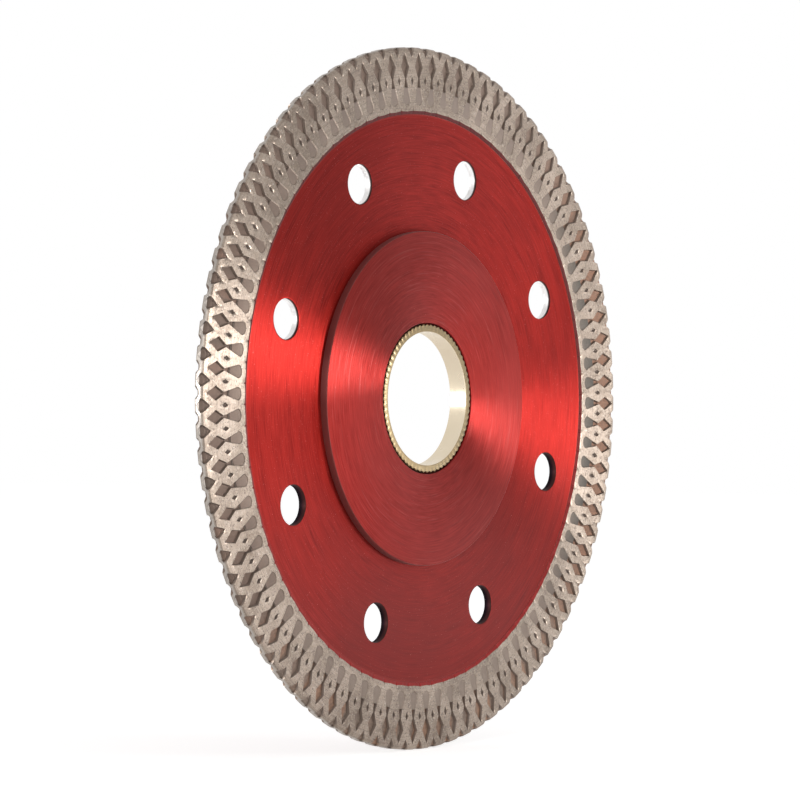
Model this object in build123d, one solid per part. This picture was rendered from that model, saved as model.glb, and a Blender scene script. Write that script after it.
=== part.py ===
from build123d import *

import math
import os

# A thin mesh-rim diamond blade with a reducing bush, standing on edge as it runs.
# The spin axis is Y. The front face looks towards -Y, and +Z is up.
# The origin is the centre of the arbor hole, at the middle of the core's thickness.
# All sizes are in millimetres.

# ---------------------------------------------------------------- driving sizes
blade_diameter = 105.0       # over the sintered rim
rim_height = 10.0            # radial height of the rim on the core
rim_thickness = 1.8          # over the ribs of both faces
core_thickness = 1.3
core_overlap = 3.8           # how far the core's edge reaches into the rim
shoulder_width = 0.6         # sloped inner edge of the rim, down to the core
shoulder_foot = 0.05         # height that is left of the rim at the slope's foot
edge_run = 1.0               # the ribs fall away towards the cutting edge
edge_drop = 0.25

# relief of the rim: radial places are counted inwards from the rim's outer edge
pocket_depth = 0.4
fan_depth = 0.1
repeat_pitch = 3.665         # at the outer edge
notch_first_angle = 1.13     # degrees from +X towards +Z, on the front face
notch_depth = 1.55           # half diamond, open at the edge
notch_width = 1.95
diamond_top = 0.8            # outer point of the large diamond
diamond_middle = 2.9         # where it is widest
diamond_width = 2.1
neck_place = 4.65            # where the large diamond runs into the fan
neck_width = 0.32
step_place = 6.0             # the deep pocket ends here, and the fan goes on shallow
fan_shoulder = 7.85          # where the fan is widest
fan_width = 1.92
fan_round = 0.8              # radial height of the fan's rounded inner end
small_top = 4.3
small_middle = 4.95
small_bottom = 5.75
small_width = 0.7

# hub
arbor_diameter = 22.3        # hole in the core, for the bush
plate_diameter = 50.0
plate_thickness = 1.2
plate_hole_clearance = 0.15  # radial, beyond the arbor hole
plate_edge_break = 0.15

# vent holes
vent_count = 8
vent_diameter = 6.0
vent_circle = 70.0           # diameter of the circle through their centres
vent_first_angle = 26.0      # degrees from +X towards +Z
vent_edge_break = 0.2

# bush
bore_diameter = 20.0
bush_clearance = 0.05        # radial, knurl crests to arbor hole
bush_length = 3.0
bush_recess = 0.05           # front end below the front plate's face
bush_edge_break = 0.12
knurl_count = 72
knurl_depth = 0.2
knurl_crest_share = 0.3      # part of each pitch that is crest

# ---------------------------------------------------------------- derived sizes
rim_radius = blade_diameter / 2
rim_inner_radius = rim_radius - rim_height
rib_inner_radius = rim_inner_radius + shoulder_width
core_radius = rim_inner_radius + core_overlap
repeat_count = round(math.pi * blade_diameter / repeat_pitch)
repeat_angle = 360.0 / repeat_count
web_thickness = rim_thickness - 2 * pocket_depth
plate_hole_radius = arbor_diameter / 2 + plate_hole_clearance
crest_radius = arbor_diameter / 2 - bush_clearance
root_radius = crest_radius - knurl_depth
bush_front = core_thickness / 2 + plate_thickness - bush_recess


def polar(radius, degrees):
    """A point of the blade's face plane, at a radius and an angle from +X."""
    turn = math.radians(degrees)
    return (radius * math.cos(turn), radius * math.sin(turn))


def beside(radius, degrees, offset):
    """The same, set off sideways by a distance across the radius."""
    across = math.degrees(math.asin(offset / radius))
    return polar(radius, degrees + across)


def facing_front(shape):
    """Turns a shape drawn in XY so that the drawing's Z axis points to the front, -Y."""
    return shape.rotate(Axis.X, 90)


# ---------------------------------------------------------------- steel core
def vent_cutter():
    """One vent hole's cutter about Z, with the broken edge of both faces."""
    radius = vent_diameter / 2
    half = core_thickness / 2
    beyond = half + vent_edge_break
    section = Polyline(
        [
            (0, -beyond),
            (radius + 2 * vent_edge_break, -beyond),
            (radius, -half + vent_edge_break),
            (radius, half - vent_edge_break),
            (radius + 2 * vent_edge_break, beyond),
            (0, beyond),
        ],
        close=True,
    )
    return revolve(Plane.XZ * make_face(section), Axis.Z)


def steel_core():
    core = Cylinder(core_radius, core_thickness) - Cylinder(arbor_diameter / 2, 3 * core_thickness)
    step = 360.0 / vent_count
    vents = [
        vent_cutter().translate((*polar(vent_circle / 2, vent_first_angle + step * index), 0))
        for index in range(vent_count)
    ]
    return facing_front(core - vents)


# ---------------------------------------------------------------- diamond rim
def rim_outline(shift):
    """The rim's edge in one layer: arcs of the rib ends between V notches."""
    edges = []
    half_notch = notch_width / 2
    for index in range(repeat_count):
        angle = shift + repeat_angle * index
        following = angle + repeat_angle
        start = beside(rim_radius, angle, half_notch)
        crown = polar(rim_radius, angle + repeat_angle / 2)
        end = beside(rim_radius, following, -half_notch)
        bottom = polar(rim_radius - notch_depth, following)
        edges.append(ThreePointArc(start, crown, end))
        edges.append(Line(end, bottom))
        edges.append(Line(bottom, beside(rim_radius, following, half_notch)))
    return Wire(edges)


def fan_half_width(radius):
    """Half width of the straight-sided part between the neck and the fan's shoulder."""
    share = (rim_radius - neck_place - radius) / (fan_shoulder - neck_place)
    return (neck_width + (fan_width - neck_width) * share) / 2


def mirrored(angle, side):
    """The outline's right side, from the outer point inwards, and its left side back again."""
    right = [beside(radius, angle, half) for radius, half in side]
    left = [beside(radius, angle, -half) for radius, half in reversed(side)]
    return right, left


def diamond_side():
    """Large diamond from its outer point to its neck: radius and half width of each corner."""
    return [
        (rim_radius - diamond_top, 0),
        (rim_radius - diamond_middle, diamond_width / 2),
        (rim_radius - neck_place, neck_width / 2),
    ]


def deep_pocket(angle):
    """Large diamond and neck, ending square at the step: open to the full depth."""
    step = rim_radius - step_place
    right, left = mirrored(angle, diamond_side() + [(step, fan_half_width(step))])
    return Wire([*Polyline(right).edges(), Line(right[-1], left[0]), *Polyline(left).edges()])


def long_pocket(angle):
    """The same with the fan and its rounded inner end: open near the surface."""
    shoulder = rim_radius - fan_shoulder
    right, left = mirrored(angle, diamond_side() + [(shoulder, fan_width / 2)])
    fan_end = ThreePointArc(right[-1], polar(shoulder - fan_round, angle), left[0])
    return Wire([*Polyline(right).edges(), fan_end, *Polyline(left).edges()])


def small_pocket(angle):
    """Small diamond, on the radius of a notch."""
    middle = rim_radius - small_middle
    corners = [
        polar(rim_radius - small_top, angle),
        beside(middle, angle, small_width / 2),
        polar(rim_radius - small_bottom, angle),
        beside(middle, angle, -small_width / 2),
    ]
    return Wire(Polyline(corners, close=True).edges())


def pierced_ring(shift, main_pocket, depth):
    """A flat ring of ribs on Z = 0, pierced by the small pockets and the given main pockets."""
    openings = [Wire(CenterArc((0, 0), rib_inner_radius, 0, 360).edges())]
    for index in range(repeat_count):
        angle = shift + repeat_angle * index
        openings.append(small_pocket(angle))
        openings.append(main_pocket(angle + repeat_angle / 2))
    return extrude(Face(rim_outline(shift), openings), depth, dir=(0, 0, 1))


def edge_envelope():
    """Disc whose two faces fall away towards the cutting edge."""
    top = rim_thickness / 2
    upper = [(0, top), (rim_radius - edge_run, top), (rim_radius, top - edge_drop)]
    lower = [(radius, -height) for radius, height in reversed(upper)]
    return revolve(Plane.XZ * make_face(Polyline(upper + lower, close=True)), Axis.Z)


def face_ribs(shift):
    """The ribs of the upper face: deep pockets below, fans only near the surface."""
    floor = web_thickness / 2
    lower = pierced_ring(shift, deep_pocket, pocket_depth - fan_depth).translate((0, 0, floor))
    upper = pierced_ring(shift, long_pocket, fan_depth).translate((0, 0, rim_thickness / 2 - fan_depth))
    return (lower + upper) & edge_envelope()


def shoulder_ring():
    """Sloped inner edge of the rim, from the ribs down to the core, for the upper face."""
    foot = core_thickness / 2
    section = [
        (rim_inner_radius, foot),
        (rib_inner_radius, foot),
        (rib_inner_radius, rim_thickness / 2),
        (rim_inner_radius, foot + shoulder_foot),
    ]
    return revolve(Plane.XZ * make_face(Polyline(section, close=True)), Axis.Z)


def diamond_rim():
    """Both faces' ribs on a solid web, with the groove that grips the core's edge."""
    rear_shift = notch_first_angle + repeat_angle / 2
    front = face_ribs(notch_first_angle) + shoulder_ring()
    rear = (face_ribs(rear_shift) + shoulder_ring()).mirror(Plane.XY)
    web = Cylinder(rim_radius, web_thickness) - Cylinder(rib_inner_radius, web_thickness)
    grip = Cylinder(core_radius, core_thickness)
    return facing_front((front - grip) + (web - grip) + (rear - grip))


# ---------------------------------------------------------------- hub plates
def hub_plate():
    """A reinforcing plate lying on Z = 0, its outer edge broken on top."""
    outer = plate_diameter / 2
    section = Polyline(
        [
            (plate_hole_radius, 0),
            (outer, 0),
            (outer, plate_thickness - plate_edge_break),
            (outer - plate_edge_break, plate_thickness),
            (plate_hole_radius, plate_thickness),
        ],
        close=True,
    )
    return revolve(Plane.XZ * make_face(section), Axis.Z)


def front_hub_plate():
    return facing_front(hub_plate().translate((0, 0, core_thickness / 2)))


def rear_hub_plate():
    return facing_front(hub_plate().translate((0, 0, core_thickness / 2)).rotate(Axis.X, 180))


# ---------------------------------------------------------------- reducing bush
def knurl_outline():
    """Cross-section of the straight knurl: a crest and a root in every pitch."""
    pitch = 360.0 / knurl_count
    crest = pitch * knurl_crest_share / 2
    root = pitch * (1 - knurl_crest_share) / 4
    points = []
    for index in range(knurl_count):
        middle = pitch * index
        points.append(polar(crest_radius, middle - crest))
        points.append(polar(crest_radius, middle + crest))
        points.append(polar(root_radius, middle + pitch / 2 - root / 2))
        points.append(polar(root_radius, middle + pitch / 2 + root / 2))
    return make_face(Polyline(points, close=True))


def end_taper():
    """Solid that trims the knurl's ends to a small bevel, and leaves the middle full."""
    half = bush_length / 2
    section = Polyline(
        [
            (0, -half),
            (crest_radius - bush_edge_break, -half),
            (crest_radius + bush_edge_break, 2 * bush_edge_break - half),
            (crest_radius + bush_edge_break, half - 2 * bush_edge_break),
            (crest_radius - bush_edge_break, half),
            (0, half),
        ],
        close=True,
    )
    return revolve(Plane.XZ * make_face(section), Axis.Z)


def reducing_bush():
    ring = extrude(knurl_outline(), bush_length / 2, both=True)
    ring = ring & end_taper()
    ring -= Cylinder(bore_diameter / 2, bush_length * 2)
    return facing_front(ring.translate((0, 0, bush_front - bush_length / 2)))


# ---------------------------------------------------------------- files
os.makedirs("parts", exist_ok=True)
for make in (steel_core, diamond_rim, front_hub_plate, rear_hub_plate, reducing_bush):
    export_step(make(), f"parts/{make.__name__}.step")
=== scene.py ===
import bmesh
import bpy
import numpy as np
from mathutils import Matrix, Vector


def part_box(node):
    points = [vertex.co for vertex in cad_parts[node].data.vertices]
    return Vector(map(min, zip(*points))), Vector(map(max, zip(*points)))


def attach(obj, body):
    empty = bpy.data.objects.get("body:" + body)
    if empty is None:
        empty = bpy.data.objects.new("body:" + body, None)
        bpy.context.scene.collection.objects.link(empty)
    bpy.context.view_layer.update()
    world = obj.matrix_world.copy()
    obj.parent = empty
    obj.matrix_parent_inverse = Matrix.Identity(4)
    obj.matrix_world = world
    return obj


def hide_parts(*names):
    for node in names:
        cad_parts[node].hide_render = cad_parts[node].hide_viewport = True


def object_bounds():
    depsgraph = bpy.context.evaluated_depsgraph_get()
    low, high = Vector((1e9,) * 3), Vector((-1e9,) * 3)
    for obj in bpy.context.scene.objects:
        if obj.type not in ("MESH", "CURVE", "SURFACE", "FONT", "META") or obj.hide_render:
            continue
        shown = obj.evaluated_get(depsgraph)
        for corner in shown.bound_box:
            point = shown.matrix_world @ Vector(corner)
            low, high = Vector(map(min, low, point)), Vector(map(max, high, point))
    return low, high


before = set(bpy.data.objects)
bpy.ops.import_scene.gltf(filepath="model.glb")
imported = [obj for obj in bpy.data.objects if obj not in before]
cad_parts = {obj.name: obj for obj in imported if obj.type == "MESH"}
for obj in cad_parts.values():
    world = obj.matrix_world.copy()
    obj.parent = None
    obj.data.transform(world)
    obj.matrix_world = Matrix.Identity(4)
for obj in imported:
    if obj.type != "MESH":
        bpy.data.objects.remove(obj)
cad_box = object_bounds()

# ================================================================ steel core
# The core is a disc of spring steel, 1.3 mm thick, with eight vent holes cut through it.
# Both faces are ground in circles, so the metal is drawn into fine rings, and then sprayed
# with a thin translucent red lacquer that lets the grinding marks shine through.
mm = 0.001
core_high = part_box("steel_core")[1]
core_radius = core_high.x
core_half = core_high.y
arbor_radius = 11.15 * mm
vent_count = 8
vent_radius = 2.95 * mm
vent_circle_radius = 35.0 * mm
vent_first_angle = np.radians(26.0)
vent_edge_round = 0.08 * mm
vent_lacquer_depth = 0.45 * mm
core_ring_lift = 1.8 * mm        # the grinding's centre above the spin axis
merge_distance = 0.0005 * mm

lacquer_deep = (0.12, 0.0042, 0.0032)
lacquer_bright = (0.305, 0.018, 0.0135)
lacquer_band = (0.27, 0.015, 0.011)
lacquer_shade = (0.14, 0.006, 0.005)
# Painted reflection of the white table: a paler haze on the core's lower half.
painted_table_reflection = (0.14, 0.03, 0.028)
dust_speck = (0.75, 0.28, 0.26)
# Painted highlight on the lacquer's fillet along the rim's foot.
painted_fillet_highlight = (0.42, 0.1, 0.085)
# Painted shade on the vents' rounded edges.
painted_edge_shade = (0.07, 0.03, 0.028)
# Painted reflection: the upper vents' walls near-white.
painted_vent_reflection = (1.0, 0.985, 0.975)
# Painted shade: the lower vents' walls, browner at the front and darkest at the rear.
vent_shade_front = (0.12, 0.04, 0.04)
vent_shade_rear = (0.018, 0.01, 0.014)


def ring_places(radius, angle, y):
    """Points about the spin axis Y: x is radius times cosine and z is radius times sine."""
    radius, angle, y = np.broadcast_arrays(radius, angle, y)
    return np.stack([radius * np.cos(angle), y, radius * np.sin(angle)], axis=-1)


def turned(places, angle):
    """The same points turned about the spin axis, from +X towards +Z."""
    x, y, z = np.moveaxis(places, -1, 0)
    cosine, sine = np.cos(angle), np.sin(angle)
    return np.stack([x * cosine - z * sine, y, x * sine + z * cosine], axis=-1)


def grid_cells(rows, columns, closed_rows, closed_columns):
    """Quads of a grid: cell (i, j) joins points (i, j), (i, j + 1), (i + 1, j + 1), (i + 1, j).
    A closed direction joins its last line of points back to its first."""
    i = np.arange(rows if closed_rows else rows - 1)[:, None]
    j = np.arange(columns if closed_columns else columns - 1)[None, :]
    after_i = (i + 1) % rows
    after_j = (j + 1) % columns
    corners = [i * columns + j, i * columns + after_j, after_i * columns + after_j, after_i * columns + j]
    return np.stack(corners, axis=-1).reshape(-1, 4)


def closed_piece(name, grids, crease=40, values=None):
    """Makes one closed mesh of several grids of points. Each grid is (points, closed rows,
    closed columns). Points that fall together are merged, faces are turned outwards, and an
    edge sharper than the crease, in degrees, stays sharp. Values are named numbers for each
    point."""
    places, cells, start = [], [], 0
    for points, closed_rows, closed_columns in grids:
        rows, columns = points.shape[:2]
        places.append(points.reshape(-1, 3))
        cells.append(grid_cells(rows, columns, closed_rows, closed_columns) + start)
        start += rows * columns
    mesh = bpy.data.meshes.new(name)
    mesh.from_pydata(np.concatenate(places).tolist(), [], np.concatenate(cells).tolist())
    for label, numbers in (values or {}).items():
        layer = mesh.attributes.new(label, "FLOAT", "POINT")
        layer.data.foreach_set("value", np.asarray(numbers, np.float32).ravel())
    shape = bmesh.new()
    shape.from_mesh(mesh)
    bmesh.ops.remove_doubles(shape, verts=shape.verts, dist=merge_distance)
    bmesh.ops.recalc_face_normals(shape, faces=shape.faces)
    shape.to_mesh(mesh)
    shape.free()
    mesh.shade_smooth()
    mesh.set_sharp_from_angle(angle=np.radians(crease))
    piece = bpy.data.objects.new(name, mesh)
    bpy.context.scene.collection.objects.link(piece)
    return piece


def sector_outline(arc_steps, side_steps):
    """Outline of one vent's sector as (radius, angle), from -half a sector along the outer
    arc, in along the far side, back along the arbor hole and out along the near side."""
    half = np.pi / vent_count
    across = np.linspace(-half, half, arc_steps + 1)[:-1]
    inwards = np.linspace(core_radius, arbor_radius, side_steps + 1)[:-1]
    radius = [np.full(arc_steps, core_radius), inwards, np.full(arc_steps, arbor_radius)]
    radius.append(arbor_radius + core_radius - inwards)
    angle = [across, np.full(side_steps, half), -across, np.full(side_steps, -half)]
    return np.concatenate(radius), np.concatenate(angle)


def core_grids():
    """Straight lines run from the sector's outline, at share 1, to the vent's edge, at share
    0. Rows cross the front face along them, go round the vent's edge by a quarter circle and
    down its wall, and come out in the same way on the rear face. Each sector is this grid
    turned about the spin axis, and two strips close the outer edge and the arbor hole. The
    value vent_wall rises from 0 on a face to 1 on the wall, and shaded_vent is 1 in the lower
    vents, whose walls get painted shade."""
    arc_steps, side_steps, round_steps = 24, 14, 5
    outline = ring_places(*sector_outline(arc_steps, side_steps), 0)
    centre = np.array([vent_circle_radius, 0, 0])
    aside = outline - centre
    aside /= np.linalg.norm(aside, axis=1, keepdims=True)
    turn = np.linspace(0, np.pi / 2, round_steps)
    edge = vent_radius + vent_edge_round * (1 - np.sin(turn))
    depth = core_half - vent_edge_round * (1 - np.cos(turn))
    face_shares = np.array([1.0, 0.5, 0.01])
    face_rows = len(face_shares)
    hole_radius = np.concatenate([np.full(face_rows, edge[0]), edge, edge[-1:]])
    share = np.concatenate([face_shares, 0 * edge, [0]])
    over = np.concatenate([0 * face_shares, np.linspace(0, 0.5, round_steps), [1]])
    y = np.concatenate([np.full(face_rows, -core_half), -depth, [vent_lacquer_depth - core_half]])
    rear_over = np.where(over > 0, 1, 0)
    share, hole_radius = (np.concatenate([row, row[::-1]])[:, None, None] for row in (share, hole_radius))
    over = np.concatenate([over, rear_over[::-1]])[:, None, None]
    places = centre + aside * hole_radius
    places = places + (outline - places) * share
    places[..., 1] = np.concatenate([y, -y[::-1]])[:, None]
    turns = vent_first_angle + 2 * np.pi / vent_count * np.arange(vent_count)
    grids = [(turned(places, angle), False, True) for angle in turns]
    walls = [np.broadcast_to(over[..., 0], places.shape[:2]).ravel()] * vent_count
    # The lower vents are marked for painted shade on their walls.
    dark = [np.full(places[..., 0].size, float(np.sin(angle) < 0)) for angle in turns]
    half = np.pi / vent_count
    across = turns[:, None] + np.linspace(-half, half, arc_steps + 1)[None, :-1]
    for radius in (core_radius, arbor_radius):
        strip = ring_places(radius, across.reshape(1, -1), np.array([[-core_half], [core_half]]))
        grids.append((strip, False, True))
        walls.append(np.zeros(strip[..., 0].size))
        dark.append(np.zeros(strip[..., 0].size))
    return grids, {"vent_wall": np.concatenate(walls), "shaded_vent": np.concatenate(dark)}


def add_node(tree, kind, inputs=None, **settings):
    """Adds a shader node with its settings, and fills its inputs by name or number: a socket
    is linked, and anything else becomes the input's own value."""
    node = tree.nodes.new(kind)
    for name, value in settings.items():
        setattr(node, name, value)
    for key, value in (inputs or {}).items():
        if isinstance(value, bpy.types.NodeSocket):
            tree.links.new(value, node.inputs[key])
        else:
            node.inputs[key].default_value = value
    return node


def math_node(tree, operation, *terms):
    """The result of one arithmetic step on sockets or numbers."""
    return add_node(tree, "ShaderNodeMath", dict(enumerate(terms)), operation=operation).outputs[0]


def product(tree, first, *others):
    """The product of several sockets or numbers."""
    for other in others:
        first = math_node(tree, "MULTIPLY", first, other)
    return first


def vector_node(tree, operation, inputs):
    """The result of one step on vectors: a number for a length, and else a vector."""
    node = add_node(tree, "ShaderNodeVectorMath", inputs, operation=operation)
    return node.outputs["Value" if operation == "LENGTH" else "Vector"]


def axes_of(tree, vector):
    """A vector's three parts, by the names X, Y and Z."""
    return add_node(tree, "ShaderNodeSeparateXYZ", {0: vector}).outputs


def noise_node(tree, place, scale, detail, roughness=0.5):
    """Soft noise round 0.5, its patches about one metre over the scale across."""
    inputs = {"Vector": place, "Scale": scale, "Detail": detail, "Roughness": roughness}
    return add_node(tree, "ShaderNodeTexNoise", inputs).outputs["Fac"]


def spread(tree, value, low, high, out_low=0.0, out_high=1.0):
    """Maps a value's range from low to high onto another range, and stops at its ends."""
    inputs = {"Value": value, "From Min": low, "From Max": high, "To Min": out_low, "To Max": out_high}
    return add_node(tree, "ShaderNodeMapRange", inputs).outputs[0]


def mix_colours(tree, share, first, second):
    """Blends two colours, each a socket or a red, green, blue triple. A Mix node has its
    sockets for colours at places 6 and 7, and their result at place 2."""
    rgba = [c if isinstance(c, bpy.types.NodeSocket) else (*c, 1) for c in (first, second)]
    return add_node(tree, "ShaderNodeMix", {0: share, 6: rgba[0], 7: rgba[1]}, data_type="RGBA").outputs[2]


def layered(tree, colour, *layers):
    """Lays colours over a first one. Each layer is (share from 0 to 1, colour)."""
    for share, upper in layers:
        colour = mix_colours(tree, share, colour, upper)
    return colour


def new_group(name, inputs, outputs):
    """An empty node group with named sockets, and its input and output nodes."""
    tree = bpy.data.node_groups.new(name, "ShaderNodeTree")
    kinds = {"vector": "NodeSocketVector", "number": "NodeSocketFloat"}
    for label, kind in inputs.items():
        tree.interface.new_socket(label, in_out="INPUT", socket_type=kinds[kind])
    for label, kind in outputs.items():
        tree.interface.new_socket(label, in_out="OUTPUT", socket_type=kinds[kind])
    return tree, tree.nodes.new("NodeGroupInput"), tree.nodes.new("NodeGroupOutput")


def turned_lines_group():
    """Marks of a tool that runs in circles. Noise is read at (direction times reach, radius
    over pitch), so it changes quickly across the rings and slowly along them."""
    inputs = {"Place": "vector", "Pitch": "number", "Reach": "number"}
    tree, given, result = new_group("turned lines", inputs, {"Lines": "number", "Radius": "number"})
    flat = vector_node(tree, "MULTIPLY", {0: given.outputs["Place"], 1: (1, 0, 1)})
    radius = vector_node(tree, "LENGTH", {0: flat})
    aim = vector_node(tree, "NORMALIZE", {0: flat})
    along = vector_node(tree, "SCALE", {0: aim, "Scale": given.outputs["Reach"]})
    across = math_node(tree, "DIVIDE", radius, given.outputs["Pitch"])
    lift = add_node(tree, "ShaderNodeCombineXYZ", {"Y": across}).outputs[0]
    lines = noise_node(tree, vector_node(tree, "ADD", {0: along, 1: lift}), 1.0, 3.0, 0.6)
    tree.links.new(lines, result.inputs["Lines"])
    tree.links.new(radius, result.inputs["Radius"])
    return tree


def specks_group():
    """Small separate marks: noise of the given size, kept only above a threshold, where it
    fades in over a short step."""
    inputs = {"Place": "vector", "Size": "number", "Threshold": "number"}
    tree, given, result = new_group("specks", inputs, {"Specks": "number"})
    fade = 0.05
    scale = math_node(tree, "DIVIDE", 1.0, given.outputs["Size"])
    noise = noise_node(tree, given.outputs["Place"], scale, 2.0)
    end = math_node(tree, "ADD", given.outputs["Threshold"], fade)
    tree.links.new(spread(tree, noise, given.outputs["Threshold"], end), result.inputs["Specks"])
    return tree


turned_lines = turned_lines_group()
specks = specks_group()


def use_group(tree, group, **inputs):
    """Places a node group, fills its inputs and gives its outputs."""
    node = add_node(tree, "ShaderNodeGroup", node_tree=group)
    for label, value in inputs.items():
        socket = node.inputs[label.capitalize()]
        if isinstance(value, bpy.types.NodeSocket):
            tree.links.new(value, socket)
        else:
            socket.default_value = value
    return node.outputs


def new_material(name, brushing, ring_lift=0.0, brushing_turn=0.25):
    """A material with its own Principled shader and Object coordinates. Its tangents run
    round a centre lifted above the spin axis: the line from that centre crossed with the
    axis. A quarter turn of the brushing stretches the highlights across those rings."""
    material = bpy.data.materials.new(name)
    material.use_nodes = True
    tree = material.node_tree
    shader = tree.nodes["Principled BSDF"]
    shader.inputs["Anisotropic"].default_value = brushing
    shader.inputs["Anisotropic Rotation"].default_value = brushing_turn
    place = tree.nodes.new("ShaderNodeTexCoord").outputs["Object"]
    spoke = vector_node(tree, "SUBTRACT", {0: place, 1: (0, 0, ring_lift)})
    tangent = vector_node(tree, "CROSS_PRODUCT", {0: spoke, 1: (0, 1, 0)})
    tree.links.new(tangent, shader.inputs["Tangent"])
    return material, tree, shader, place


def fine_relief(tree, shader, height, strength, distance):
    """Feeds a height to the shader's normal through a Bump node."""
    bump = add_node(tree, "ShaderNodeBump", {"Height": height, "Strength": strength, "Distance": distance})
    tree.links.new(bump.outputs[0], shader.inputs["Normal"])


def number_of(tree, label):
    """A piece's own value at each point, by its name."""
    return add_node(tree, "ShaderNodeAttribute", attribute_name=label).outputs["Fac"]


def core_lacquer():
    """Red lacquer on ground steel. Fine rings and broad bands change its depth, and the bands
    its gloss. Dust lies on it in specks. A paler haze on the lower half is a painted reflection
    of the table. A pale line along the rim's foot is a painted highlight on the lacquer's
    fillet, and the vents' rounded edges are darkened with painted shade. The upper vents are
    painted near-white inside as a painted reflection, and the lower ones dark as painted shade,
    browner towards the front."""
    material, tree, shader, place = new_material("core lacquer over ground steel", 1.0, core_ring_lift)
    fine = use_group(tree, turned_lines, place=place, pitch=0.18 * mm, reach=7.0)
    broad = use_group(tree, turned_lines, place=place, pitch=1.6 * mm, reach=2.0)
    dust = use_group(tree, specks, place=place, size=0.16 * mm, threshold=0.69)["Specks"]
    cloud = noise_node(tree, place, 45.0, 3.0)
    axes = axes_of(tree, place)
    # Painted reflection: the lower half is hazier and paler, as if reflecting the table.
    lower_haze = spread(tree, axes["Z"], -8 * mm, -34 * mm, 0.0, 0.5)
    lower_haze = product(tree, lower_haze, spread(tree, cloud, 0.3, 0.7, 0.6, 1.0))
    over = number_of(tree, "vent_wall")
    over_edge = (over, 0.02, 0.2)
    # Painted shade in the lower vents: browner at the front, darkest towards the rear.
    shade_depth = spread(tree, axes["Y"], -core_half, 0.3 * core_half)
    stain_and_shade = mix_colours(tree, shade_depth, vent_shade_front, vent_shade_rear)
    colour = layered(
        tree, lacquer_deep,
        (spread(tree, fine["Lines"], 0.3, 0.7), lacquer_bright),
        (spread(tree, broad["Lines"], 0.35, 0.65, 0.0, 0.5), lacquer_band),
        (spread(tree, cloud, 0.35, 0.7, 0.0, 0.4), lacquer_shade),
        (lower_haze, painted_table_reflection),
        # Painted highlight: a pale line on the fillet at the rim's foot.
        (spread(tree, fine["Radius"], 42.2 * mm, 42.35 * mm, 0.0, 0.12), painted_fillet_highlight),
        (product(tree, dust, 0.6), dust_speck),
        # Painted shade: the vents' rounded edges darkened.
        (spread(tree, *over_edge), painted_edge_shade),
        # Vent walls: painted reflection in the upper vents, painted shade in the lower ones.
        (spread(tree, over, 0.75, 1.0), mix_colours(tree, number_of(tree, "shaded_vent"), painted_vent_reflection, stain_and_shade)))
    tree.links.new(colour, shader.inputs["Base Color"])
    shader.inputs["Metallic"].default_value = 1.0
    polish = spread(tree, broad["Lines"], 0.3, 0.7, 0.28, 0.33)
    rough = math_node(tree, "ADD", polish, spread(tree, *over_edge, 0.0, 0.4))
    tree.links.new(rough, shader.inputs["Roughness"])
    fine_relief(tree, shader, fine["Lines"], 0.8, 0.014 * mm)
    return material


grids, vent_values = core_grids()
core = closed_piece("ground_steel_core", grids, values=vent_values)
core.data.materials.append(core_lacquer())
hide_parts("steel_core")
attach(core, "blade")

# ================================================================ diamond rim
# The rim is sintered metal with diamond grit, hot-pressed on the core's edge. A mesh of
# ribs stands on both faces: notches open at the edge, large diamonds that run into shallow
# fans, and small diamonds between them. The rear pattern is staggered by half a repeat.
rim_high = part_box("diamond_rim")[1]
rim_radius = rim_high.x
rim_half = rim_high.y
rim_height = 10.0 * mm
grip_height = 3.8 * mm
seat_gap = 0.005 * mm
repeat_count = 90
half_columns = 9                 # columns of points in half a repeat
first_notch = np.radians(1.13)

# Depths and slopes of the relief.
pocket_depth = 0.4 * mm
fan_depth = 0.1 * mm
nick_depth = 0.1 * mm
foot_height = 0.05 * mm          # what is left of the rim's height where it meets the core
wall_draft = 0.3                 # run of a pocket's wall for each unit of its depth
fan_draft = 0.14 * mm
least_width = 0.01 * mm
rib_edge_round = 0.03 * mm
rib_edge_drop = 0.015 * mm
shallow_depth = 0.05 * mm        # anything shallower looks like a rib
wide_notch = 0.3 * mm
notch_spread = 0.05              # how much the repeats differ, as shares of their mean
diamond_spread = 0.03
tint_spread = 0.3

# Places inwards from the cutting edge, and how the ribs fall away towards it.
edge_run = 1.0 * mm
edge_drop = 0.25 * mm
edge_curve = 1.6
edge_tip_run = 0.25 * mm
edge_tip_drop = 0.52 * mm
edge_web_half = 0.05 * mm
notch_recess = 0.22 * mm
notch_recess_run = 0.6 * mm
notch_recess_depth = 0.35 * mm
small_start = 4.0 * mm
small_end = 6.0 * mm
fan_start = 6.0 * mm
fan_fade_end = 8.5 * mm
fan_end = 8.8 * mm
shoulder_place = 9.45 * mm
shoulder_wave = 0.09 * mm
shoulder_wave_shares = (0.3, 1.3)
shoulder_round = 0.08 * mm
paint_start = 0.01 * mm

rib_dark = (0.205, 0.158, 0.122)
rib_light = (0.36, 0.29, 0.235)
rib_grain = (0.42, 0.36, 0.305)
rib_groove = (0.18, 0.14, 0.118)
pit_brown = (0.09, 0.065, 0.055)
grit_grey = (0.62, 0.56, 0.5)
floor_dark = (0.135, 0.1, 0.078)
floor_brown = (0.17, 0.115, 0.088)
floor_orange = (0.27, 0.16, 0.115)
# Painted light on the +X side: the pockets' floors there are a lighter copper.
floor_lit_right = (0.27, 0.138, 0.084)
# Painted light: floors paler at the top and the bottom.
floor_lit_ends = (0.25, 0.185, 0.148)
# Floor tones for low down: paler, and more orange where the tint is high.
floor_low_pale = (0.33, 0.255, 0.205)
floor_low_orange = (0.5, 0.28, 0.175)
# Painted shade in the small diamonds' narrow pockets.
small_pocket_shade = (0.07, 0.05, 0.04)
floor_grain = (0.14, 0.1, 0.08)
fan_dark = (0.17, 0.12, 0.095)
fan_light = (0.22, 0.155, 0.122)
fan_grain = (0.12, 0.095, 0.08)
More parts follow.
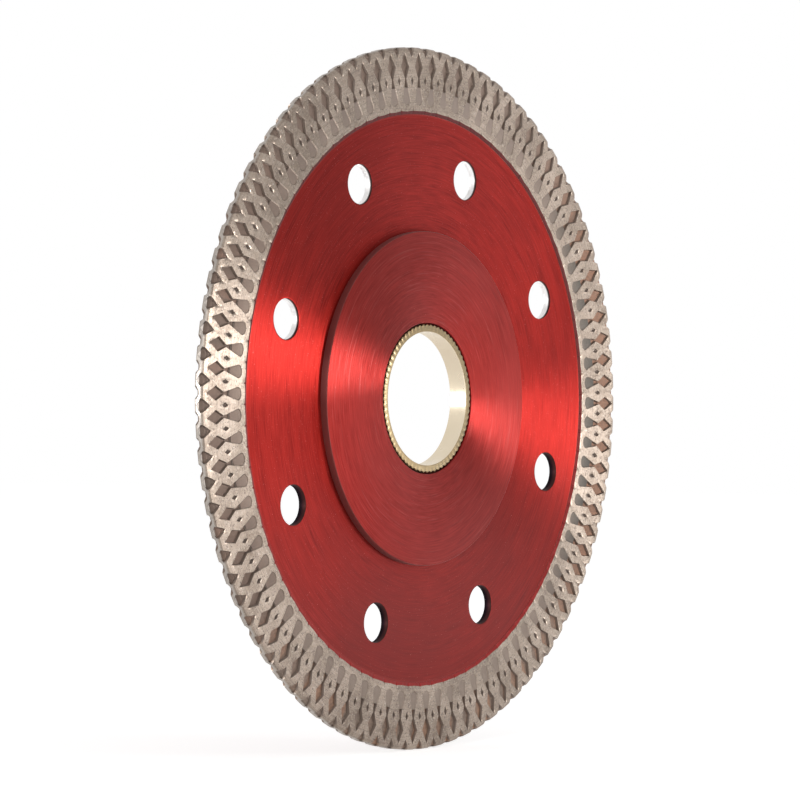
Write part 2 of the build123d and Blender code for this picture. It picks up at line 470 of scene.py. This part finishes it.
# Painted shade on the +X side: darker grey fans.
fan_shaded_right = (0.066, 0.063, 0.056)
# Painted light: fans paler at the top and the bottom.
fan_lit_ends = (0.25, 0.2, 0.17)
# Fan tone for low down: paler.
fan_low_pale = (0.31, 0.245, 0.2)
# Painted shade on the pockets' walls.
wall_shade_brown = (0.2, 0.15, 0.12)
fan_step_grey = (0.5, 0.44, 0.39)
# Silver edge: partly wear, partly a painted highlight.
edge_silver_and_sheen = (0.55, 0.52, 0.49)
# Painted shade and light on the shoulder's lacquer: darker at the top, brighter low down.
lacquer_shaded_top = (0.085, 0.010, 0.009)
lacquer_lit_low = (0.27, 0.014, 0.012)


def notch_side(place):
    """Half width, on a notch's radius, of whatever is open at a place inwards from the edge:
    straight lines between the corners of the notch, the small diamond and the nick."""
    corners = np.array([0, 1.55, 4.3, 4.95, 5.75, 9.0, 9.35, 10.0]) * mm
    widths = np.array([0.975, 0, 0, 0.35, 0, 0, 0.14, 0.14]) * mm
    return np.interp(place, corners, widths)


def diamond_side(place):
    """Half width, on a large diamond's radius: straight lines over the diamond, its neck and
    the fan's sides, and an ellipse round the fan's inner end."""
    corners = np.array([0.8, 2.9, 4.65, 7.85]) * mm
    widths = np.array([0, 1.05, 0.16, 0.96]) * mm
    fan_round = 0.8 * mm
    straight = np.interp(place, corners, widths)
    beyond = np.clip((place - corners[-1]) / fan_round, 0, 1)
    return np.where(place > corners[-1], widths[-1] * np.sqrt(1 - beyond ** 2), straight)


def relief_rows():
    """Places inwards from the edge where the relief changes, one for each row of points."""
    outer = [0, 0.07, 0.22, 0.5, 0.8, 1.04, 1.36, 1.55, 2.9, 3.6, 4.3, 4.52, 4.65, 4.95, 5.48, 5.75]
    inner = [5.97, 6.03, 6.9, 7.85, 8.15, 8.4, 8.58, 8.65, 9.0]
    return np.array(outer + inner) * mm


def rim_side(seed, first_angle):
    """Points of one face, from the edge inwards, and their named values. Across half a repeat
    the columns are the notch's axis, its wall's foot and top, four over the rib, the large
    diamond's wall from its top to its foot, and its axis: each is a distance along the arc,
    worked out from the half widths at that radius. The last rows are the shoulder, whose lip
    swings in and out by a cosine, and the foot."""
    chance = np.random.default_rng(seed)
    columns = 2 * half_columns
    rows = relief_rows()
    place = np.broadcast_to(rows[:, None], (len(rows), repeat_count * columns))
    phase = np.tile(np.arange(columns) - half_columns + 1, repeat_count)[None, :]
    across = np.arange(repeat_count * columns) / columns
    size = chance.uniform(*shoulder_wave_shares, repeat_count)
    size_here = np.interp(across, np.arange(repeat_count + 1), np.append(size, size[0]))
    lip = shoulder_place - shoulder_wave * (np.cos(np.pi * phase / half_columns) * size_here)
    foot = np.full_like(lip, rim_height)
    place = np.concatenate([place, lip, lip + shoulder_round, foot])
    radius = rim_radius - place
    half_arc = radius * np.pi / repeat_count

    def uneven(spread_share):
        """One random factor near 1 for each repeat, the same in all of its columns."""
        each = chance.normal(1, spread_share, repeat_count)
        return np.repeat(each, columns)[None, :]

    notch_open = notch_side(place) * uneven(notch_spread)
    diamond_open = diamond_side(place) * uneven(diamond_spread)
    in_fan = place > fan_start
    notch_deep = np.minimum(np.where(place > fan_end, nick_depth, pocket_depth), notch_open / wall_draft)
    diamond_deep = np.minimum(np.where(in_fan, fan_depth, pocket_depth), diamond_open / wall_draft)

    fall = np.clip(1 - place / edge_run, 0, 1)
    tip = np.clip(1 - place / edge_tip_run, 0, 1)
    down = np.clip((place - lip) / (rim_height - lip), 0, 1)
    rib = rim_half - edge_drop * fall ** edge_curve - (edge_tip_drop - edge_drop) * tip ** 2
    rib = rib - (rim_half - core_half - foot_height) * down
    recess = np.clip(1 - place / notch_recess_run, 0, 1)
    notch_floor = np.minimum(rib, rim_half - notch_deep) - notch_recess_depth * recess ** 2
    notch_floor = np.maximum(notch_floor, np.where(place < edge_run, edge_web_half, core_half + foot_height))
    diamond_floor = np.minimum(rib, rim_half - diamond_deep)
    notch_break = np.minimum(rib_edge_drop, rib - notch_floor)
    diamond_break = np.minimum(rib_edge_drop, rib - diamond_floor)

    notch_top = np.maximum(notch_open, 2 * least_width)
    notch_foot = np.clip(notch_open - notch_deep * wall_draft, least_width, notch_top - least_width)
    diamond_top = np.maximum(diamond_open, 2 * least_width)
    diamond_run = np.where(in_fan, fan_draft, diamond_deep * wall_draft)
    diamond_foot = np.clip(diamond_open - diamond_run, least_width, diamond_top - least_width)
    rib_start = notch_top + rib_edge_round
    rib_end = half_arc - diamond_top - rib_edge_round
    rib_width = rib_end - rib_start
    arcs = [0 * half_arc, notch_foot, notch_top, rib_start, rib_start + rib_width / 3]
    arcs += [rib_start + rib_width * 2 / 3, rib_end, half_arc - diamond_top, half_arc - diamond_foot]
    step = np.abs(phase)
    arc = np.select([step == number for number in range(half_columns)], arcs, half_arc)
    on_notch_floor, notch_wall, diamond_wall = step <= 1, step == 2, step == half_columns - 2
    on_diamond_floor = step > half_columns - 2
    height = np.select(
        [on_notch_floor, notch_wall, diamond_wall, on_diamond_floor],
        [notch_floor, rib - notch_break, rib - diamond_break, diamond_floor], rib)

    cell = np.repeat(np.arange(repeat_count), columns)[None, :]
    angle = first_angle + cell * 2 * np.pi / repeat_count + np.sign(phase) * arc / radius
    radius = radius - np.where(on_notch_floor, notch_recess, 0) * recess * (notch_open > wide_notch)
    near_notch = on_notch_floor | notch_wall
    hollow_here = np.where(near_notch, rib - notch_floor, rib - diamond_floor) > shallow_depth
    hollow = np.where(on_notch_floor | on_diamond_floor, 1.0, 0.0) * hollow_here
    hollow = hollow * np.where(in_fan, np.interp(place, [fan_start, fan_fade_end], [1.0, 0.75]), 1)
    fan = (in_fan & (place < fan_end)).astype(float)
    small = near_notch & (place > small_start) & (place < small_end)
    tint = np.where(near_notch, uneven(tint_spread), uneven(tint_spread))
    # A tint of 0 marks the small diamonds, which the material paints darkest as shade.
    tint = np.where(small, 0, tint)
    paint = np.broadcast_to((place > lip + paint_start).astype(float), place.shape)
    return radius, angle, height, {"hollow": hollow, "fan": fan, "tint": tint, "paint": paint}


def rim_piece():
    """Front rows from the foot outwards, the cutting edge, the rear rows inwards, and the
    groove that grips the core: one grid that closes in both directions."""
    front_seed, rear_seed = 5, 6
    radius, angle, height, front_values = rim_side(front_seed, first_notch)
    front = ring_places(radius, angle, -height)[::-1]
    radius, angle, height, rear_values = rim_side(rear_seed, first_notch + np.pi / repeat_count)
    rear = np.roll(ring_places(radius, angle, height), half_columns, axis=1)
    edge = (front[-1] + rear[0]) / 2
    edge[:, 1] = 0
    seat = core_half + seat_gap
    grip = (rim_radius - rim_height + grip_height + seat_gap) / (rim_radius - rim_height)
    front_foot = front[0] * [1, 0, 1] - [0, seat, 0]
    rear_foot = rear[-1] * [1, 0, 1] + [0, seat, 0]
    groove_rear = rear_foot * [grip, 1, grip]
    groove_front = front_foot * [grip, 1, grip]
    rows = [front_foot[None], front, edge[None], rear, rear_foot[None], groove_rear[None], groove_front[None]]
    values = {}
    for label in front_values:
        plain = np.zeros((1, edge.shape[0]))
        first = front_values[label][::-1]
        last = np.roll(rear_values[label], half_columns, axis=1)
        values[label] = np.concatenate([plain, first, plain, last, plain, plain, plain])
    grid = (np.concatenate(rows), True, True)
    return closed_piece("sintered_diamond_rim", [grid], crease=20, values=values)


def rim_sinter():
    """Ground sinter on the ribs, with grinding lines, pits and grit. The walls are duller, and
    painted darker brown as shade. The pockets' rough floors differ in tint from one to the
    next, are painted darkest in the small diamonds as shade, and are paler and more orange
    low down. On the +X side the floors are painted a lighter copper and the fans a darker
    grey, and at the top and the bottom both are painted paler: painted light and shade for
    how the light falls there. The fans are all of one tint, paler low down, and have a pale
    line at their outer step. The cutting edge is silver, partly as wear and partly as a
    painted highlight. Red lacquer from the core ends raggedly on the shoulder, painted darker
    at the top and brighter low down as shade and light."""
    material, tree, shader, place = new_material("sintered rim with diamond grit", 0.9)
    rings = use_group(tree, turned_lines, place=place, pitch=0.17 * mm, reach=12.0)
    pits = use_group(tree, specks, place=place, size=0.2 * mm, threshold=0.605)["Specks"]
    grit = use_group(tree, specks, place=place, size=0.26 * mm, threshold=0.64)["Specks"]
    grain = noise_node(tree, place, 2600.0, 2.0)
    cloud = noise_node(tree, place, 160.0, 4.0)
    axes = axes_of(tree, place)
    # Painted light and shade on the +X side, by how the light falls there.
    right = spread(tree, axes["X"], 26 * mm, 43 * mm, 0.0, 0.85)
    # Painted light: paler at the top and the bottom.
    ends = spread(tree, math_node(tree, "ABSOLUTE", axes["Z"]), 25 * mm, 45 * mm, 0.0, 0.75)
    # Low down the floors turn paler and more orange, and the fans paler.
    low = spread(tree, axes["Z"], -28 * mm, -45 * mm, 0.0, 0.75)
    tint, in_fan, hollow, paint = (number_of(tree, name) for name in ("tint", "fan", "hollow", "paint"))

    rib = layered(
        tree, rib_dark,
        (spread(tree, cloud, 0.35, 0.65), rib_light),
        (spread(tree, grain, 0.35, 0.65, 0.0, 0.45), rib_grain),
        (spread(tree, rings["Lines"], 0.45, 0.65, 0.0, 0.55), rib_groove),
        (product(tree, pits, 0.75), pit_brown),
        (product(tree, grit, 0.35), grit_grey))
    pocket = layered(
        tree, floor_dark,
        (spread(tree, tint, 0.4, 0.8), floor_brown),
        (spread(tree, tint, 1.2, 1.8), floor_orange),
        (right, floor_lit_right),
        (ends, floor_lit_ends),
        (low, mix_colours(tree, spread(tree, tint, 0.8, 1.3), floor_low_pale, floor_low_orange)),
        # Painted shade: the small diamonds darkest.
        (spread(tree, tint, 0.05, 0.25, 1.0, 0.0), small_pocket_shade),
        (spread(tree, grain, 0.3, 0.7, 0.0, 0.5), floor_grain))
    fan = layered(
        tree, fan_dark,
        (spread(tree, cloud, 0.3, 0.7), fan_light),
        (spread(tree, grain, 0.4, 0.7, 0.0, 0.4), fan_grain),
        (right, fan_shaded_right),
        (ends, fan_lit_ends),
        (low, fan_low_pale))

    facing = axes_of(tree, tree.nodes.new("ShaderNodeNewGeometry").outputs["Normal"])["Y"]
    wall = product(
        tree, spread(tree, math_node(tree, "ABSOLUTE", facing), 0.45, 0.85, 1.0, 0.0),
        spread(tree, rings["Radius"], 52.0 * mm, 52.1 * mm, 1.0, 0.0),
        spread(tree, in_fan, 0.0, 0.3, 1.0, 0.0))
    fan_step = spread(tree, math_node(tree, "PINGPONG", in_fan, 0.5), 0.1, 0.4, 0.0, 0.6)
    # The cutting edge is silver, partly as wear and partly as a painted highlight.
    worn_edge_and_sheen = product(
        tree, spread(tree, rings["Radius"], 52.25 * mm, 52.4 * mm, 0.0, 0.5),
        spread(tree, math_node(tree, "ABSOLUTE", axes["Y"]), 0.35 * mm, 0.6 * mm, 1.0, 0.0))
    ragged = math_node(tree, "ADD", paint, spread(tree, cloud, 0.3, 0.7, -0.4, 0.4))
    painted = spread(tree, ragged, 0.45, 0.6)
    colour = layered(
        tree, rib,
        (hollow, mix_colours(tree, in_fan, pocket, fan)),
        # Painted shade: walls turned away from the face are darker brown.
        (product(tree, wall, 0.8), wall_shade_brown),
        (product(tree, fan_step, hollow), fan_step_grey),
        (worn_edge_and_sheen, edge_silver_and_sheen),
        # Painted shade at the top and painted light low down on the shoulder's red lacquer.
        (painted, mix_colours(tree, spread(tree, axes["Z"], 10 * mm, -35 * mm), lacquer_shaded_top, lacquer_lit_low)))
    tree.links.new(colour, shader.inputs["Base Color"])
    metal = product(
        tree, spread(tree, hollow, 0, 1, 1.0, 0.5), spread(tree, wall, 0, 1, 1.0, 0.2),
        spread(tree, painted, 0, 1, 1.0, 0.5))
    tree.links.new(metal, shader.inputs["Metallic"])
    rough = math_node(
        tree, "ADD", spread(tree, hollow, 0, 1, 0.33, 0.6), spread(tree, painted, 0, 1, 0.0, 0.25))
    tree.links.new(rough, shader.inputs["Roughness"])
    fine_relief(tree, shader, math_node(tree, "SUBTRACT", grain, pits), 0.4, 0.02 * mm)
    return material


rim = rim_piece()
rim.data.materials.append(rim_sinter())
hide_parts("diamond_rim")
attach(rim, "blade")

# ================================================================ hub plates
# Two steel washers, 50 mm across and 1.2 mm thick, stiffen the core at the hub, one on each
# face. They are turned, spot-pressed on the core and sprayed with it, and their lacquer is
# hazier than the core's because they are handled and clamped there.
plate_round = 0.15 * mm
foot_round = 0.02 * mm
plate_hole_radius = 11.3 * mm
plate_ring_lift = 0.5 * mm       # the turning's centre above the spin axis
plate_brushing_turn = 0.259

hub_deep = (0.136, 0.008, 0.0065)
hub_bright = (0.255, 0.022, 0.0185)
hub_haze = (0.258, 0.032, 0.029)
hub_scratch = (0.36, 0.1, 0.093)
hub_speck = (0.7, 0.33, 0.3)
hub_side = (0.2, 0.045, 0.04)


def plate_profile(low, high):
    """Section of a plate as (radius, y): straight sides, and a quarter circle at each of the
    four corners."""
    outer = high.x
    near, far = low.y, high.y
    corner_points = 5
    turn = np.linspace(0, np.pi / 2, corner_points)
    near_round, far_round = (plate_round, foot_round) if near < 0 else (foot_round, plate_round)
    corners = [
        (outer, -near_round, near, near_round, -np.pi / 2),
        (outer, -far_round, far, -far_round, 0),
        (plate_hole_radius, far_round, far, -far_round, np.pi / 2),
        (plate_hole_radius, near_round, near, near_round, np.pi),
    ]
    arcs = []
    for radius, inwards, y, upwards, start in corners:
        size = abs(inwards)
        across = radius + inwards + size * np.cos(start + turn)
        along = y + upwards + size * np.sin(start + turn)
        arcs.append(np.column_stack([across, along]))
    return np.concatenate(arcs)


def turned_ring(name, profile, steps=288):
    """A closed section (radius, y) carried once round the spin axis."""
    angle = np.linspace(0, 2 * np.pi, steps, endpoint=False)[None, :]
    places = ring_places(profile[:, :1], angle, profile[:, 1:])
    return closed_piece(name, [(places, True, True)])


def plate_lacquer():
    """The same lacquer, scuffed: fine turned rings, long arcs of scratches, a haze and specks
    of dust. The plate's outer side is duller."""
    material, tree, shader, place = new_material(
        "scuffed hub lacquer", 1.0, plate_ring_lift, plate_brushing_turn)
    fine = use_group(tree, turned_lines, place=place, pitch=0.18 * mm, reach=5.0)
    scratch = use_group(tree, turned_lines, place=place, pitch=0.22 * mm, reach=2.6)
    dust = use_group(tree, specks, place=place, size=0.14 * mm, threshold=0.74)["Specks"]
    haze = noise_node(tree, place, 70.0, 3.0)
    side = spread(tree, fine["Radius"], 24.9 * mm, 24.98 * mm)
    colour = layered(
        tree, hub_deep,
        (spread(tree, fine["Lines"], 0.3, 0.7), hub_bright),
        (spread(tree, haze, 0.35, 0.7, 0.0, 0.4), hub_haze),
        (spread(tree, scratch["Lines"], 0.58, 0.68, 0.0, 0.2), hub_scratch),
        (product(tree, dust, 0.5), hub_speck),
        (side, hub_side))
    tree.links.new(colour, shader.inputs["Base Color"])
    tree.links.new(spread(tree, side, 0, 1, 1.0, 0.5), shader.inputs["Metallic"])
    tree.links.new(spread(tree, haze, 0.3, 0.7, 0.3, 0.36), shader.inputs["Roughness"])
    fine_relief(tree, shader, scratch["Lines"], 0.2, 0.01 * mm)
    return material


plate_material = plate_lacquer()
for node in ("front_hub_plate", "rear_hub_plate"):
    plate = turned_ring("turned_" + node, plate_profile(*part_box(node)))
    plate.data.materials.append(plate_material)
    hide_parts(node)
    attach(plate, "blade")

# ================================================================ reducing bush
# A turned brass ring that fits the blade's 22 mm hole to a 20 mm spindle. A straight knurl
# on its outside holds it in the hole, and its bore is reamed bright; its pale colour is
# partly a painted highlight.
bush_low, bush_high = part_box("reducing_bush")
bush_crest = bush_high.x
bush_bore = 10.0 * mm
bush_round = 0.12 * mm
bore_edge = 0.06 * mm
knurl_count = 72
knurl_depth = 0.2 * mm
knurl_crest_share = 0.3
knurl_root_share = 0.18
knurl_columns = 8                # columns of points in one tooth

brass_dark = (0.215, 0.162, 0.09)
brass_light = (0.33, 0.252, 0.147)
brass_stain = (0.26, 0.18, 0.09)
knurl_brown = (0.16, 0.11, 0.06)
# The bore: partly bright reamed brass, partly a painted highlight.
bore_bright = (0.72, 0.62, 0.47)


def knurl_height(angle):
    """From 0 at a root to 1 at a crest: a triangle wave with both its ends cut flat."""
    wave = 2 * np.abs((angle * knurl_count / (2 * np.pi)) % 1 - 0.5)
    rise = 1 - knurl_crest_share - knurl_root_share
    return np.clip((wave - knurl_root_share) / rise, 0, 1)


def bush_piece():
    """Rows go from the bore's front edge outwards over the front face, along the knurl, in
    over the rear face and back through the bore. The outside edges are rounded in two steps.
    Outside rows drop to the roots by the knurl's height."""
    front, rear = bush_low.y, bush_high.y
    step = 0.3 * bush_round
    outwards = [bush_bore + bore_edge, bush_crest - bush_round, bush_crest - step, bush_crest]
    row_radius = outwards + outwards[::-1] + [bush_bore, bush_bore]
    row_y = [front, front, front + step, front + bush_round, rear - bush_round, rear - step, rear, rear]
    row_y += [rear - bore_edge, front + bore_edge]
    row_knurl = [0, 1, 1, 1, 1, 1, 1, 0, 0, 0]
    angle = np.linspace(0, 2 * np.pi, knurl_count * knurl_columns, endpoint=False)[None, :]
    drop = knurl_depth * (1 - knurl_height(angle)) * np.array(row_knurl)[:, None]
    radius = np.array(row_radius)[:, None] - drop
    places = ring_places(radius, angle, np.array(row_y)[:, None])
    return closed_piece("knurled_reducing_bush", [(places, True, True)], crease=35)


def bush_brass():
    """Stained brass with turning rings on its ends, brown and duller teeth, and a pale bore,
    partly bright reamed brass and partly a painted highlight."""
    material, tree, shader, place = new_material("turned brass", 0.5)
    fine = use_group(tree, turned_lines, place=place, pitch=0.08 * mm, reach=3.0)
    stain_and_shade = noise_node(tree, place, 400.0, 3.0)
    teeth = spread(tree, fine["Radius"], bush_crest - 0.3 * mm, bush_crest - 0.05 * mm, 0.0, 0.75)
    colour = layered(
        tree, brass_dark,
        (spread(tree, fine["Lines"], 0.3, 0.7), brass_light),
        (spread(tree, stain_and_shade, 0.5, 0.75, 0.0, 0.5), brass_stain),
        (teeth, knurl_brown),
        # The bore's pale colour: partly reamed brass, partly a painted highlight.
        (spread(tree, fine["Radius"], bush_bore + 0.02 * mm, bush_bore + 0.05 * mm, 1.0, 0.0), bore_bright))
    tree.links.new(colour, shader.inputs["Base Color"])
    shader.inputs["Metallic"].default_value = 1.0
    rough = math_node(tree, "ADD", spread(tree, stain_and_shade, 0.3, 0.7, 0.25, 0.38), product(tree, teeth, 0.3))
    tree.links.new(rough, shader.inputs["Roughness"])
    fine_relief(tree, shader, fine["Lines"], 0.2, 0.01 * mm)
    return material


bush = bush_piece()
bush.data.materials.append(bush_brass())
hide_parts("reducing_bush")
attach(bush, "bush")

# ================================================================ studio
# The blade stands on edge on a white table in a white room. Both show white to the camera,
# in reflections and through glass, and light the blade less strongly than that.
table_size = 3.0
table_glow = 0.6
room_light = 0.5


def seen_directly(tree):
    """1 on rays from the camera, from a reflection or through glass, and 0 on all others."""
    path = tree.nodes.new("ShaderNodeLightPath")
    seen = math_node(tree, "MAXIMUM", path.outputs["Is Camera Ray"], path.outputs["Is Glossy Ray"])
    return math_node(tree, "MAXIMUM", seen, path.outputs["Is Transmission Ray"])


bpy.ops.mesh.primitive_plane_add(size=table_size, location=(0, 0, cad_box[0][2]))
floor = bpy.context.active_object
floor.name = "white_table"
table_white = bpy.data.materials.new("white table")
table_white.use_nodes = True
tree = table_white.node_tree
shader = tree.nodes["Principled BSDF"]
shader.inputs["Base Color"].default_value = (0.8, 0.8, 0.8, 1)
shader.inputs["Roughness"].default_value = 0.9
shader.inputs["Specular IOR Level"].default_value = 0.0
shader.inputs["Emission Color"].default_value = (1, 1, 1, 1)
tree.links.new(product(tree, seen_directly(tree), table_glow), shader.inputs["Emission Strength"])
floor.data.materials.append(table_white)

world = bpy.data.worlds.new("white room")
bpy.context.scene.world = world
world.use_nodes = True
tree = world.node_tree
background = tree.nodes["Background"]
background.inputs["Color"].default_value = (1, 1, 1, 1)
tree.links.new(spread(tree, seen_directly(tree), 0, 1, room_light, 1.0), background.inputs["Strength"])


def area_lamp(name, direction, distance, width, height, power):
    """A flat lamp that looks at the blade's centre from a direction."""
    light = bpy.data.lights.new(name, "AREA")
    light.shape = "RECTANGLE"
    light.size = width
    light.size_y = height
    light.energy = power
    lamp = bpy.data.objects.new(name, light)
    aim = Vector(direction).normalized()
    lamp.location = aim * distance
    lamp.rotation_euler = aim.to_track_quat("Z", "Y").to_euler()
    bpy.context.scene.collection.objects.link(lamp)


# The front lamp draws the bow-tie of light that ground rings give. The left lamp lights the
# rim's edge, and the rear lamp the other face.
area_lamp("front lamp", (0.45, -0.89, 0.061), 1.0, 0.2, 0.12, 3.15)
area_lamp("left lamp", (-0.95, -0.2, 0.25), 1.0, 0.3, 0.4, 1.6)
area_lamp("rear lamp", (-0.81, 0.59, 0.02), 1.0, 0.2, 0.14, 3.0)

# A lamp overhead brightens the table in front of the blade, and the ground rings pick that up.
light = bpy.data.lights.new("table lamp", "SPOT")
light.energy = 150.0
light.spot_size = np.radians(38)
light.spot_blend = 0.4
light.shadow_soft_size = 0.1
lamp = bpy.data.objects.new("table lamp", light)
lamp.location = (0.1, -0.42, 1.0)
bpy.context.scene.collection.objects.link(lamp)

# The camera looks level at the blade from its left, 36 degrees off the face's own plane, with
# the blade's centre a little to the right of the view's and above it.
sight = Vector((0.808, 0.589, 0.0)).normalized()
upright = Vector((0, 0, 1))
right = sight.cross(upright)
distance = 635.9 * mm
camera_aside = 3.2 * mm
camera_drop = 0.23 * mm
lens = bpy.data.cameras.new("camera")
lens.sensor_width = 36.0
lens.lens = 191.1
lens.clip_start = 0.01
camera = bpy.data.objects.new("camera", lens)
face_centre = Vector((0, -core_half, 0))
eye = face_centre - camera_aside * right - camera_drop * upright - distance * sight
facing = Matrix((right, upright, -sight)).transposed().to_4x4()
camera.matrix_world = Matrix.Translation(eye) @ facing
bpy.context.scene.collection.objects.link(camera)
bpy.context.scene.camera = camera
bpy.context.scene.view_settings.view_transform = "Standard"
